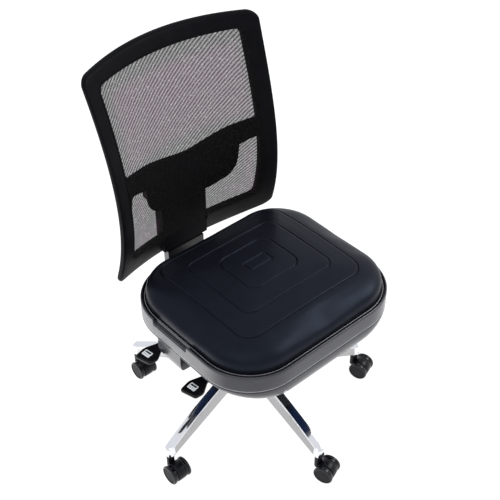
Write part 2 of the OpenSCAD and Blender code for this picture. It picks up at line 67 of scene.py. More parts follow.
RIM_LOW, RIM_HIGH, RIM_MID = node_box("seat_tray_rim")
TRAY_LOW, TRAY_HIGH, _ = node_box("seat_tray_lower")
SKIN_LOW, SKIN_HIGH, _ = node_box("seat_skin")
STEMS = [np.array(joint_of(f"caster_{k}_swivel")["pos_m"]) for k in range(1, 6)]
WHEEL_R = (node_box("caster_1_wheel_left")[1][2] - node_box("caster_1_wheel_left")[0][2]) / 2
SEAT_MID_Y = RIM_MID[1]
TRAY_HALF_X = RIM_HIGH[0] - RIM_MID[0]
TRAY_HALF_Y = RIM_HIGH[1] - RIM_MID[1]
TRAY_CORNER = 0.131
CORNER_STEPS = 14
SIDE_STEPS = 16


# ---------- materials ----------

class Paint:
    """A Principled material with helpers for procedural colour, roughness and bump."""

    def __init__(self, name, colour, roughness, **sockets):
        self.material = bpy.data.materials.new(name)
        self.material.use_nodes = True
        self.nodes = self.material.node_tree.nodes
        self.links = self.material.node_tree.links
        self.shader = self.nodes["Principled BSDF"]
        self.shader.inputs["Base Color"].default_value = (*colour, 1)
        self.shader.inputs["Roughness"].default_value = roughness
        for socket, value in sockets.items():
            self.shader.inputs[socket.replace("_", " ")].default_value = value
        self.coords = self.nodes.new("ShaderNodeTexCoord").outputs["Object"]
        self.last_bump = None

    def noise(self, scale, detail=3.0, stretch=(1, 1, 1)):
        """A noise value over the object's own coordinates."""
        mapping = self.nodes.new("ShaderNodeMapping")
        mapping.inputs["Scale"].default_value = stretch
        self.links.new(self.coords, mapping.inputs["Vector"])
        noise = self.nodes.new("ShaderNodeTexNoise")
        noise.inputs["Scale"].default_value = scale
        noise.inputs["Detail"].default_value = detail
        self.links.new(mapping.outputs["Vector"], noise.inputs["Vector"])
        return noise.outputs["Fac"]

    def cells(self, scale, feature="F1"):
        """Distance to the nearest cell point, for leather grain and pitted plastic."""
        voronoi = self.nodes.new("ShaderNodeTexVoronoi")
        voronoi.feature = feature
        voronoi.inputs["Scale"].default_value = scale
        self.links.new(self.coords, voronoi.inputs["Vector"])
        return voronoi.outputs["Distance"]

    def remap(self, value, low, high, from_low=0.3, from_high=0.7):
        """value from from_low to from_high, mapped to low to high."""
        node = self.nodes.new("ShaderNodeMapRange")
        ends = {"From Min": from_low, "From Max": from_high, "To Min": low, "To Max": high}
        for socket, number in ends.items():
            node.inputs[socket].default_value = number
        self.links.new(value, node.inputs["Value"])
        return node.outputs["Result"]

    def math(self, operation, a, b=0.0):
        """One Math node; a and b are sockets or numbers."""
        node = self.nodes.new("ShaderNodeMath")
        node.operation = operation
        for socket, value in zip(node.inputs, (a, b)):
            if hasattr(value, "links"):
                self.links.new(value, socket)
            else:
                socket.default_value = value
        return node.outputs[0]

    def roughness(self, value, low, high):
        """Roughness varies from low to high with value."""
        self.links.new(self.remap(value, low, high), self.shader.inputs["Roughness"])
        return self

    def colours(self, value, dark, light, from_low=0.3, from_high=0.7):
        """Base colour blends from dark to light with value."""
        mix = self.nodes.new("ShaderNodeMix")
        mix.data_type = "RGBA"
        mix.inputs["A"].default_value = (*dark, 1)
        mix.inputs["B"].default_value = (*light, 1)
        self.links.new(self.remap(value, 0, 1, from_low, from_high), mix.inputs["Factor"])
        self.links.new(mix.outputs["Result"], self.shader.inputs["Base Color"])
        return self

    def bump(self, height, strength, distance):
        """Adds a bump layer on top of the ones before it."""
        node = self.nodes.new("ShaderNodeBump")
        node.inputs["Strength"].default_value = strength
        node.inputs["Distance"].default_value = distance
        self.links.new(height, node.inputs["Height"])
        if self.last_bump:
            self.links.new(self.last_bump, node.inputs["Normal"])
        self.last_bump = node.outputs["Normal"]
        self.links.new(self.last_bump, self.shader.inputs["Normal"])
        return self


def moulded_plastic(name, colour, low, high, grain=1400, strength=0.12, shine=0.5):
    """Injection-moulded plastic: fine even texture, and a slow change of gloss."""
    paint = Paint(name, colour, (low + high) / 2, Specular_IOR_Level=shine)
    paint.roughness(paint.noise(14, 4), low, high)
    light = tuple(c * 1.35 + 0.001 for c in colour)
    paint.colours(paint.noise(30, 5), colour, light)
    return paint.bump(paint.noise(grain, 2), strength, 0.0002)


def metal(name, colour, low, high, stretch=(1, 1, 1), scale=60, strength=0.03):
    """Bare or plated metal with faint directional marks."""
    paint = Paint(name, colour, low, Metallic=1.0)
    marks = paint.noise(scale, 6, stretch)
    paint.roughness(marks, low, high)
    return paint.bump(marks, strength, 0.0002)


def seat_skin_paint():
    """Smooth moulded polyurethane skin: fine pores, soft wide sheen."""
    paint = Paint("seat_skin", (0.004, 0.0045, 0.007), 0.40,
                  Specular_IOR_Level=0.16, Specular_Tint=(0.55, 0.70, 1.0, 1))
    paint.roughness(paint.noise(9, 4), 0.34, 0.42)
    paint.colours(paint.noise(22, 5), (0.0045, 0.0050, 0.0078), (0.0060, 0.0068, 0.0105))
    paint.bump(paint.cells(900), 0.05, 0.0003)
    return paint.bump(paint.noise(260, 5), 0.05, 0.0004)


def knit_paint():
    """Open knitted mesh: slanted ridges of thread over small diamond holes, black and partly see-through, with
    painted plum back-light where no moulding lies behind it.
    """
    paint = Paint("back_mesh", (0.005, 0.0045, 0.005), 0.75, Specular_IOR_Level=0.08)
    split = paint.nodes.new("ShaderNodeSeparateXYZ")
    paint.links.new(paint.coords, split.inputs["Vector"])
    x, z = split.outputs["X"], split.outputs["Z"]

    def wave(step_x, step_z, wobble):
        """A sine wave over the sheet with these crest spacings along X and Z, in metres."""
        along = paint.math("ADD", paint.math("MULTIPLY", x, 2 * math.pi / step_x),
                           paint.math("MULTIPLY", z, 2 * math.pi / step_z))
        return paint.math("SINE", paint.math("ADD", along, wobble))

    wobble = paint.math("MULTIPLY", paint.math("SUBTRACT", paint.noise(26, 3), 0.5), 4.0)
    fine = paint.math("MULTIPLY", paint.math("SUBTRACT", paint.noise(330, 2), 0.5), 3.0)
    ridge = wave(-0.0135, 0.0088, wobble)
    holes = paint.math("MAXIMUM", wave(0.0048, 0.0041, fine), wave(-0.0048, 0.0041, fine))
    weave = paint.math("ADD", paint.math("MULTIPLY", ridge, 0.125), paint.math("MULTIPLY", holes, 0.07))
    bright = paint.remap(paint.noise(400, 1), 0, -0.30, 0.60, 0.72)
    alpha = paint.math("ADD", paint.math("ADD", weave, 0.797), bright)
    paint.links.new(alpha, paint.shader.inputs["Alpha"])
    # painted back-light: the yarn is painted plum where light would come through it, and left black where the
    # moulding backs it
    width = paint.math("ABSOLUTE", x)
    panel = paint.math("MULTIPLY", paint.remap(z, 0, 1, 0.515, 0.545), paint.remap(z, 1, 0, 0.702, 0.732))
    wing = paint.math("MULTIPLY", panel, paint.remap(z, 0, 1, 0.612, 0.642))
    backed = paint.math("MULTIPLY", panel, paint.remap(width, 1, 0, 0.140, 0.165))
    backed = paint.math("MAXIMUM", backed, wing)
    backed = paint.math("MAXIMUM", backed, paint.math("MULTIPLY", paint.remap(width, 1, 0, 0.095, 0.118),
                                                      paint.remap(z, 1, 0, 0.555, 0.575)))
    # the mesh over the frame's border gets no painted back-light either
    border = paint.math("MAXIMUM", paint.remap(width, 0, 1, 0.164, 0.186), paint.remap(z, 0, 1, 0.872, 0.896))
    border = paint.math("MAXIMUM", border, paint.remap(z, 1, 0, 0.484, 0.510))
    lit = paint.math("SUBTRACT", 1.0, paint.math("MAXIMUM", backed, border))
    return paint.colours(lit, (0.003, 0.0028, 0.0032), (0.045, 0.014, 0.031), 0.0, 1.0)


def two_tone_paint():
    """The bracket cover: black front and back, with light grey side cheeks."""
    paint = Paint("bracket_cover", (0.01, 0.01, 0.012), 0.4)
    split = paint.nodes.new("ShaderNodeSeparateXYZ")
    paint.links.new(paint.coords, split.inputs["Vector"])
    side = paint.math("ABSOLUTE", split.outputs["X"])
    paint.colours(side, (0.004, 0.004, 0.005), (0.13, 0.13, 0.135), 0.0565, 0.0569)
    paint.roughness(paint.noise(40, 3), 0.34, 0.44)
    return paint.bump(paint.noise(1300, 2), 0.12, 0.0002)


MATERIALS = {
    "polished_aluminium": metal("polished_aluminium", (0.86, 0.87, 0.89), 0.05, 0.09, (1, 1, 4), 45, 0.008),
    # painted shade: the darker colour stands in for the shadowed floor that the legs' sides reflect; the satin
    # roughness is the finish
    "satin_aluminium_painted_shade": metal("satin_aluminium_painted_shade", (0.43, 0.425, 0.43), 0.22, 0.32, (1, 1, 4), 60, 0.012),
    "black_steel": moulded_plastic("black_steel", (0.004, 0.004, 0.005), 0.34, 0.46, 1800, 0.12, 0.15),
    "bright_steel": metal("bright_steel", (0.62, 0.62, 0.64), 0.22, 0.36, (1, 1, 8), 90, 0.05),
    "spring_steel": metal("spring_steel", (0.25, 0.25, 0.27), 0.3, 0.45),
    "black_plastic": moulded_plastic("black_plastic", (0.003, 0.003, 0.0045), 0.28, 0.38, 1400, 0.08, 0.20),
    "wheel_plastic": moulded_plastic("wheel_plastic", (0.003, 0.003, 0.005), 0.12, 0.18, 900, 0.03, 0.40),
    "tray_plastic": moulded_plastic("tray_plastic", (0.020, 0.020, 0.026), 0.20, 0.26, 1600, 0.06, 0.55),
    # painted reflection: the underside is coloured navy so that the polished leg tops mirror navy
    "tray_underside_painted_reflection": moulded_plastic("tray_underside_painted_reflection", (0.002, 0.008, 0.030), 0.5, 0.6, 1300, 0.1, 0.08),
    # painted highlight: light grey for the highlight lines along the tray's edges
    "tray_painted_highlight": moulded_plastic("tray_painted_highlight", (0.20, 0.20, 0.215), 0.25, 0.35, 1300, 0.04),
    "grey_plastic": two_tone_paint(),
    "back_plastic": moulded_plastic("back_plastic", (0.0020, 0.0020, 0.0030), 0.45, 0.55, 1300, 0.12, 0.05),
    "plywood": moulded_plastic("plywood", (0.35, 0.24, 0.14), 0.5, 0.7, 300, 0.3),
    "seat_foam": moulded_plastic("seat_foam", (0.6, 0.55, 0.4), 0.8, 0.95, 500, 0.5),
    "seat_skin": seat_skin_paint(),
    "back_mesh": knit_paint(),
    "label": moulded_plastic("label", (0.92, 0.94, 0.96), 0.30, 0.42, 700, 0.05),
    "label_ink": moulded_plastic("label_ink", (0.02, 0.035, 0.05), 0.35, 0.45, 700, 0.05),
    "wheel_face": moulded_plastic("wheel_face", (0.009, 0.009, 0.011), 0.42, 0.50, 1200, 0.10, 0.14),
}


def material(name):
    return MATERIALS[name].material


# ---------- mesh helpers ----------

def make_piece(name, verts, faces, slot, body, smooth=True):
    """A mesh piece with one material, riding on a body."""
    mesh = bpy.data.meshes.new(name)
    mesh.from_pydata([tuple(float(c) for c in v) for v in verts], [], faces)
    mesh.validate()
    mesh.materials.append(material(slot))
    if smooth:
        mesh.polygons.foreach_set("use_smooth", [True] * len(mesh.polygons))
    obj = bpy.data.objects.new(name, mesh)
    bpy.context.scene.collection.objects.link(obj)
    if body:
        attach(obj, body)
    return obj


def outward(obj):
    """Makes every face's normal point out of the closed mesh."""
    bm = bmesh.new()
    bm.from_mesh(obj.data)
    bmesh.ops.recalc_face_normals(bm, faces=bm.faces)
    bm.to_mesh(obj.data)
    bm.free()
    return obj


def bevel(obj, width, segments=3, angle=28):
    """Rounds the sharp edges and keeps the flat faces' shading flat."""
    modifier = obj.modifiers.new("edges", "BEVEL")
    modifier.width = width
    modifier.segments = segments
    modifier.limit_method = "ANGLE"
    modifier.angle_limit = math.radians(angle)
    modifier.harden_normals = True
    obj.data.polygons.foreach_set("use_smooth", [True] * len(obj.data.polygons))
    return obj


def skin(loops, ring=False, caps=True):
    """Vertices and faces of a surface through loops with equal point counts."""
    n, m = len(loops[0]), len(loops)
    verts = [p for loop in loops for p in loop]
    faces = []
    for j in range(m if ring else m - 1):
        k = (j + 1) % m
        for i in range(n):
            h = (i + 1) % n
            faces.append((j * n + i, j * n + h, k * n + h, k * n + i))
    if caps and not ring:
        faces.append(tuple(range(n - 1, -1, -1)))
        faces.append(tuple(range((m - 1) * n, m * n)))
    return verts, faces


def revolve(profile, centre, axis, steps=72):
    """Vertices and faces of (radius, along) points turned about an axis through centre. Closed on the axis."""
    axis = Vector(axis).normalized()
    side = axis.orthogonal().normalized()
    other = axis.cross(side)
    centre = Vector(centre)
    verts, rows = [], []
    for radius, along in profile:
        if radius < 1e-7:
            rows.append([len(verts)])
            verts.append(centre + axis * along)
            continue
        rows.append(list(range(len(verts), len(verts) + steps)))
        for i in range(steps):
            a = 2 * math.pi * i / steps
            verts.append(centre + axis * along + side * (radius * math.cos(a)) + other * (radius * math.sin(a)))
    faces = []
    closed = len(rows[0]) > 1 and len(rows[-1]) > 1
    pairs = list(zip(rows, rows[1:])) + ([(rows[-1], rows[0])] if closed else [])
    for a, b in pairs:
        for i in range(steps if len(a) + len(b) > 2 else 0):
            h = (i + 1) % steps
            if len(a) == 1:
                faces.append((a[0], b[h], b[i]))
            elif len(b) == 1:
                faces.append((a[i], a[h], b[0]))
            else:
                faces.append((a[i], a[h], b[h], b[i]))
    return verts, faces


def together(parts):
    """Joins (verts, faces) pairs into one."""
    verts, faces = [], []
    for part_verts, part_faces in parts:
        shift = len(verts)
        verts += list(part_verts)
        faces += [tuple(i + shift for i in face) for face in part_faces]
    return verts, faces


def extrude(outline, low, high, axis=2):
    """Vertices and faces of a flat outline swept along one axis. The outline lies in the other two axes."""
    loops = []
    for level in (low, high):
        loops.append([np.insert(np.array(p, float), axis, level) for p in outline])
    return skin(loops)


def smooth_by_angle(obj, angle):
    """Smooth shading everywhere except over edges sharper than angle, in degrees."""
    obj.data.polygons.foreach_set("use_smooth", [True] * len(obj.data.polygons))
    obj.data.set_sharp_from_angle(angle=math.radians(angle))
    return obj


def merge_shapes(base, *others):
    """Boolean union of base with others, which are removed."""
    for other in others:
        modifier = base.modifiers.new("join", "BOOLEAN")
        modifier.operation = "UNION"
        modifier.solver = "EXACT"
        modifier.object = other
    return apply_modifiers(base, others)


def cut_shapes(base, *others):
    """Boolean difference of base with others, which are removed."""
    for other in others:
        modifier = base.modifiers.new("cut", "BOOLEAN")
        modifier.operation = "DIFFERENCE"
        modifier.solver = "EXACT"
        modifier.object = other
    return apply_modifiers(base, others)


def apply_modifiers(base, helpers=()):
    """Replaces base's mesh with its evaluated one, and removes the helper objects."""
    graph = bpy.context.evaluated_depsgraph_get()
    graph.update()
    mesh = bpy.data.meshes.new_from_object(base.evaluated_get(graph))
    base.modifiers.clear()
    old = base.data
    base.data = mesh
    bpy.data.meshes.remove(old)
    for helper in helpers:
        bpy.data.objects.remove(helper)
    return base


def helper_object(name, verts, faces):
    """A loose mesh object for a boolean; it never rides."""
    mesh = bpy.data.meshes.new(name)
    mesh.from_pydata([tuple(float(c) for c in v) for v in verts], [], faces)
    obj = bpy.data.objects.new(name, mesh)
    bpy.context.scene.collection.objects.link(obj)
    return outward(obj)


# ---------- seat ----------

def seat_loop(mid_y, half_x, half_y, corner, z, side_stops=None):
    """A rounded rectangle round the seat's middle line, as points at height z."""
    points = []
    corner = min(corner, half_x - 1e-4, half_y - 1e-4)
    for quarter in range(4):
        sx = 1 if quarter in (0, 3) else -1
        sy = 1 if quarter < 2 else -1
        for i in range(CORNER_STEPS + 1):
            a = math.radians(90 * (quarter + i / CORNER_STEPS))
            points.append((sx * (half_x - corner) + corner * math.cos(a),
                           mid_y + sy * (half_y - corner) + corner * math.sin(a), z))
        if quarter in (0, 2):
            straight = half_x - corner
            stops = [1 - 2 * i / SIDE_STEPS for i in range(1, SIDE_STEPS)]
            for s in stops:
                points.append((s * straight * sx, mid_y + sy * half_y, z))
        else:
            straight = half_y - corner
            stops = side_stops or [1 - 2 * i / SIDE_STEPS for i in range(1, SIDE_STEPS)]
            for s in (stops if quarter == 1 else reversed(stops)):
                points.append((sx * half_x, mid_y + s * straight, z))
    return points


# half width, half depth, middle y and corner radius of each groove, from the slot outwards
GROOVES = [(0.0322, 0.0148, -0.0455, 0.005), (0.0752, 0.0650, -0.0480, 0.028),
           (0.1327, 0.1110, -0.0510, 0.026), (0.1825, 0.1640, -0.0510, 0.042)]
GROOVE_DEPTH = 0.0030
# how far from the groove's line, and share of its depth
GROOVE_SECTION = [(-0.0034, 0.0), (-0.0021, 0.06), (-0.0012, 0.5), (-0.0005, 1.0), (0.0005, 1.0),
                  (0.0012, 0.5), (0.0021, 0.06), (0.0034, 0.0)]
CUSHION_CORNER = 0.118
# distance in from the cushion's side, and height as a share of the cushion's, before it is blown up
CROWN = [(0, 0.30), (0.0006, 0.38), (0.002, 0.45), (0.005, 0.515), (0.012, 0.595), (0.020, 0.650),
         (0.030, 0.695), (0.048, 0.750), (0.068, 0.803), (0.090, 0.855), (0.125, 0.922), (0.150, 0.957),
         (0.170, 0.978), (0.200, 0.993), (0.240, 1.0)]
# a guard only: the pressure used moves no point this far
MOST_SWELL = 0.008
SWELL_PRESSURE = 1.0
SWELL_FRAMES = 20


def crown_height(x, y):
    """Height of the plain cushion over a point, from how far in from the side it lies."""
    half_x, half_y = SKIN_HIGH[0], (SKIN_HIGH[1] - SKIN_LOW[1]) / 2
    qx, qy = abs(x) - (half_x - CUSHION_CORNER), abs(y - SEAT_MID_Y) - (half_y - CUSHION_CORNER)
    inset = CUSHION_CORNER - math.hypot(max(qx, 0), max(qy, 0))
    if qx < 0 and qy < 0:
        # a soft minimum of the two keeps the crown free of creases along its diagonals
        inset += 1 / math.hypot(1 / qx, 1 / qy)
    share = np.interp(max(inset, 0), [c[0] for c in CROWN], [c[1] for c in CROWN])
    return SKIN_LOW[2] + float(share) * (SKIN_HIGH[2] - SKIN_LOW[2])


def swell_of(obj):
    """How far each point moves when the closed form is blown up as cloth under pressure."""
    copy = bpy.data.objects.new("cushion_copy", obj.data.copy())
    bpy.context.scene.collection.objects.link(copy)
    remesh = copy.modifiers.new("remesh", "REMESH")
    remesh.mode = "VOXEL"
    remesh.voxel_size = 0.006
    apply_modifiers(copy)
    start = np.array([v.co for v in copy.data.vertices])
    # the foot sits in the tray, so it is held
    held = copy.vertex_groups.new(name="foot")
    held.add([int(i) for i in np.nonzero(start[:, 2] < RIM_HIGH[2] + 0.004)[0]], 1.0, "REPLACE")
    cloth = copy.modifiers.new("cloth", "CLOTH")
    cloth.settings.use_pressure = True
    cloth.settings.uniform_pressure_force = SWELL_PRESSURE
    cloth.settings.effector_weights.gravity = 0
    cloth.settings.vertex_group_mass = "foot"
    cloth.settings.bending_stiffness = 3
    cloth.settings.quality = 5
    cloth.point_cache.frame_start = 1
    cloth.point_cache.frame_end = SWELL_FRAMES
    for number in range(1, SWELL_FRAMES + 1):
        bpy.context.scene.frame_set(number)
    graph = bpy.context.evaluated_depsgraph_get()
    moved = np.array([v.co for v in copy.evaluated_get(graph).data.vertices])
    bpy.context.scene.frame_set(1)
    bpy.data.objects.remove(copy)
    step = moved - start
    length = np.linalg.norm(step, axis=1, keepdims=True)
    return start, step * np.minimum(1, MOST_SWELL / np.maximum(length, 1e-9))


def blow_up(obj):
    """Carries the cloth simulation's swelling over to the piece's own points, smoothly."""
    start, step = swell_of(obj)
    tree = KDTree(len(start))
    for i, p in enumerate(start):
        tree.insert(p, i)
    tree.balance()
    for vert in obj.data.vertices:
        total, weight = np.zeros(3), 0.0
        for _, i, distance in tree.find_n(vert.co, 40):
            w = math.exp(-(distance / 0.016) ** 2) + 1e-9
            total += w * step[i]
            weight += w
        vert.co += Vector(total / weight)


def cushion():
    """The moulded cushion, with four sunk grooves on its crown."""
    half_x, half_y = SKIN_HIGH[0], (SKIN_HIGH[1] - SKIN_LOW[1]) / 2
    edge = (half_x, half_y, SEAT_MID_Y, CUSHION_CORNER)
    # half width, half depth, middle, corner radius and groove share of each loop, from the middle outwards
    shapes = [(0.012, 0.002, GROOVES[0][2], 0.001, 0), (0.018, 0.006, GROOVES[0][2], 0.003, 0)]
    for number, (gx, gy, gm, gr) in enumerate(GROOVES):
        for offset, share in GROOVE_SECTION:
            shapes.append((gx + offset, gy + offset, gm, max(gr + offset, 0.0015), share))
        far = (GROOVES + [edge])[number + 1]
        last = number + 1 == len(GROOVES)
        steps = np.linspace(0, 1, 8)[1:-1]
        if last:
            steps = [1 - (1 - f) ** 2.2 for f in np.linspace(0, 1, 26)[1:]]
        near = (gx + 0.0034, gy + 0.0034, gm, gr + 0.0034)
        for f in steps:
            shapes.append(tuple(a + f * (b - a) for a, b in zip(near, far)) + (0,))
    loops, cuts = [], []
    for sx, sy, middle, corner, share in shapes:
        loop = [(x, y, crown_height(x, y)) for x, y, _ in seat_loop(middle, sx, sy, corner, 0)]
        loops.append(loop)
        cuts += [share] * len(loop)
    turn = SKIN_LOW[2] + CROWN[0][1] * (SKIN_HIGH[2] - SKIN_LOW[2])
    for z in np.linspace(turn, SKIN_LOW[2] + 0.001, 7)[1:]:
        loops.append(seat_loop(SEAT_MID_Y, half_x, half_y, CUSHION_CORNER, z))
    verts, faces = skin(loops)
    obj = outward(make_piece("cushion", verts, faces, "seat_skin", "seat"))
    cuts = np.array(cuts + [0] * (len(obj.data.vertices) - len(cuts)))
    relax(obj, [i for i, v in enumerate(obj.data.vertices) if v.co.z > turn + 0.004], 10)
    blow_up(obj)
    # grooves are cut last, straight down, so that they stay crisp
    for vert, cut in zip(obj.data.vertices, cuts):
        vert.co.z -= cut * GROOVE_DEPTH
    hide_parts("seat_skin", "seat_foam")
    return obj


def relax(obj, which, rounds):
    """Smooths the chosen points up and down only."""
    neighbours = [[] for _ in obj.data.vertices]
    for edge in obj.data.edges:
        a, b = edge.vertices
        neighbours[a].append(b)
        neighbours[b].append(a)
    z = np.array([v.co.z for v in obj.data.vertices])
    for _ in range(rounds):
        average = np.array([z[n].mean() for n in neighbours])
        z[which] += 0.5 * (average[which] - z[which])
    for vert, height in zip(obj.data.vertices, z):
        vert.co.z = height


def tray_stops():
    """Stations along the tray's straight sides, dense at both ends of the hand pocket."""
    straight = TRAY_HALF_Y - TRAY_CORNER
    stops = {1 - 2 * i / SIDE_STEPS for i in range(1, SIDE_STEPS)}
    for y in (POCKET_FRONT, POCKET_REAR):
        for offset in (-0.0045, -0.0022, -0.0007, 0.0007, 0.0022, 0.0045):
            s = (y + offset - SEAT_MID_Y) / straight
            if abs(s) < 0.999:
                stops.add(s)
    return sorted(stops, reverse=True)


POCKET_FRONT = -0.097
POCKET_REAR = 0.0205
POCKET_FOOT = 0.415


def tray_rim():
    """The tray's upper ring: outer wall, rolled lip, inner bead and the shelf that carries the seat pan."""
    top, low = RIM_HIGH[2], RIM_LOW[2]
    # inset from the side, and height, up the outer wall and down the inner one
    section = [(0.0012, low + 0.0002), (0.0002, low + 0.0012), (0, low + 0.004), (0, low + 0.02),
               (0, top - 0.008), (0.0002, top - 0.003), (0.001, top - 0.0012), (0.0024, top - 0.0002),
               (0.0036, top - 0.0002), (0.0046, top - 0.0012), (0.005, top - 0.003), (0.0054, top - 0.010),
               (0.0062, top - 0.0115),
               (0.0076, top - 0.0115), (0.0082, top - 0.010), (0.0084, top - 0.0025), (0.0092, top - 0.0012),
               (0.0104, top - 0.0012), (0.0112, top - 0.0025), (0.0115, top - 0.005), (0.0115, top - 0.014),
               (0.026, top - 0.019), (0.026, top - 0.023), (0.005, top - 0.025), (0.005, low + 0.0002)]
    stops = tray_stops()
    loops = []
    for inset, z in section:
        loop = seat_loop(SEAT_MID_Y, TRAY_HALF_X - inset, TRAY_HALF_Y - inset, TRAY_CORNER - inset, z, stops)
        shaped = []
        for x, y, height in loop:
            if inset <= 0.0052 and height > POCKET_FOOT and abs(x) > TRAY_HALF_X - 0.012:
                rise = max(smooth_step(POCKET_REAR - 0.001, POCKET_REAR + 0.001, y),
                           1 - smooth_step(POCKET_FRONT - 0.001, POCKET_FRONT + 0.001, y))
                lowered = POCKET_FOOT - (top - height) * 0.3
                height = lowered + rise * (height - lowered)
            shaped.append((x, y, height))
        loops.append(shaped)
    verts, faces = skin(loops, ring=True)
    obj = outward(make_piece("tray_rim", verts, faces, "tray_plastic", "seat"))
    # painted highlights: light grey lines along the foot of the outer wall, the top of the bead, and the lip
    # under the hand pockets
    obj.data.materials.append(material("tray_painted_highlight"))
    for polygon in obj.data.polygons:
        row = polygon.index // len(loops[0])
        pocket = POCKET_FRONT < polygon.center.y < POCKET_REAR and abs(polygon.center.x) > TRAY_HALF_X - 0.012
        if row in (1, 16) or (row == 7 and pocket):
            polygon.material_index = 1
    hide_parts("seat_tray_rim")
    return obj


def smooth_step(low, high, value):
    t = min(1.0, max(0.0, (value - low) / (high - low)))
    return t * t * (3 - 2 * t)


# height as a share of the lower shell's depth, inset of the sides, inset of the front and rear
TRAY_SECTION = [(0, 0.092, 0.060), (0.0, 0.080, 0.046), (0.015, 0.074, 0.038), (0.04, 0.069, 0.032),
                (0.09, 0.062, 0.026), (0.15, 0.055, 0.0205), (0.22, 0.048, 0.016), (0.3, 0.041, 0.012),
                (0.38, 0.0345, 0.0085), (0.46, 0.028, 0.006),
                (0.55, 0.0208, 0.0035), (0.64, 0.0142, 0.0018), (0.73, 0.009, 0.0006), (0.82, 0.0048, 0),
                (0.9, 0.002, 0), (0.96, 0.0004, 0), (0.985, 0.0004, 0.0004), (0.995, 0.0014, 0.0014)]


def tray_lower():
    """The tray's lower shell: upright front, sides that slope in under the split line."""
    top, low = TRAY_HIGH[2], TRAY_LOW[2]
    wall = 0.004
    section = [(low + share * (top - low), sx, sy) for share, sx, sy in TRAY_SECTION]
    inner = [(max(z, low + wall), sx + wall, sy + wall) for z, sx, sy in reversed(section[1:])]
    loops = []
    for z, sx, sy in section + inner:
        corner = TRAY_CORNER - (sx + sy) / 2
        loops.append(seat_loop(SEAT_MID_Y, TRAY_HALF_X - sx, TRAY_HALF_Y - sy, corner, z))
    verts, faces = skin(loops)
    obj = outward(make_piece("tray_lower", verts, faces, "tray_plastic", "seat"))
    # painted reflection: the flat underside gets the navy colour that the legs mirror
    obj.data.materials.append(material("tray_underside_painted_reflection"))
    for polygon in obj.data.polygons:
        if polygon.normal.z < -0.8:
            polygon.material_index = 1
    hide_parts("seat_tray_lower")
    return obj


# ---------- back ----------

def back_y(x, z):
    """Depth of the back's front surface at a width and height."""
    t = (z - 0.680) / 0.250
    return 0.2024 + 0.0387 * t + 0.0497 * t ** 2 - 0.013 * t ** 3 - 1.0257 * x ** 2


BACK_TOP = node_box("back_frame")[1][2]
WINDOW_LOW = 0.453
WINDOW_TOP = BACK_TOP - 0.0374


def back_outline(half_w, low, low_k, top, top_k, flares, corner, steps=12, side=26):
    """A four-sided (x, z) outline with curved ends and rounded corners. flares widen its top and foot."""
    half_h = (top - low) / 2
    ru, rv = corner / half_w, corner / half_h
    square = []
    for quarter in range(4):
        sx = 1 if quarter in (0, 3) else -1
        sy = 1 if quarter < 2 else -1
        for i in range(steps + 1):
            a = math.radians(90 * (quarter + i / steps))
            square.append((sx * (1 - ru) + ru * math.cos(a), sy * (1 - rv) + rv * math.sin(a)))
        for i in range(1, side):
            f = 1 - 2 * i / side
            u, v = f * (1 - ru), f * (1 - rv)
            square.append([(u, 1), (-1, v), (-u, -1), (1, -v)][quarter])
    points = []
    for u, v in square:
        x = u * (half_w + flares[int(v < 0)] * v * v)
        s = (v + 1) / 2
        points.append((x, (1 - s) * (low + low_k * x * x) + s * (top + top_k * x * x)))
    return np.array(points)


OUTER_LINE = back_outline(0.234, 0.360, 1.09, BACK_TOP, -0.104, (0.008, 0.008), 0.022)
INNER_LINE = back_outline(0.193, WINDOW_LOW, 0.68, WINDOW_TOP, -0.042, (0.004, -0.003), 0.016)
# half width, lower edge and upper edge of the crossbar with its lumbar panel, in millimetres
CROSSBAR = [(0, 546, 675), (20, 546.5, 676.5), (46, 547.5, 681), (71, 550.5, 686), (89, 556, 690),
            (100, 560, 692), (108, 563.5, 693.7), (116, 569.5, 695), (123, 577, 696.2), (128, 584, 696.8),
            (131.5, 592, 697.2), (134, 601, 697.4), (136.5, 615, 697.6), (138.5, 630, 697.7), (140.5, 642, 697.8),
            (150, 645.5, 699), (160, 648.5, 700.2), (170, 651.5, 701.3), (180, 653.5, 702.5), (184, 653, 703),
            (187, 650.5, 703.8), (189.5, 646, 705.5), (191.5, 638, 709), (195, 628, 716)]


def back_ring():
    """The back's border: broad smooth front face, rolled edges."""
    # share of the way from the outer to the inner outline, and depth behind the front surface
    section = [(0, 0.0075), (0.01, 0.0045), (0.035, 0.0022), (0.08, 0.0008), (0.16, 0.0001), (0.35, 0),
               (0.6, 0), (0.84, 0.0001), (0.92, 0.0006), (0.97, 0.0016), (1, 0.0036), (1, 0.009),
               (1, 0.0145), (0.985, 0.0165), (0.95, 0.0176), (0.9, 0.018), (0.5, 0.018), (0.15, 0.018),
               (0.06, 0.0172), (0.015, 0.0152), (0, 0.0125)]
    loops = []
    for outer, inner in zip(OUTER_LINE, INNER_LINE):
        loop = []
        for share, depth in section:
            x, z = (1 - share) * outer + share * inner
            loop.append((x, back_y(x, z) + depth, z))
        loops.append(loop)
    return skin(loops, ring=True)


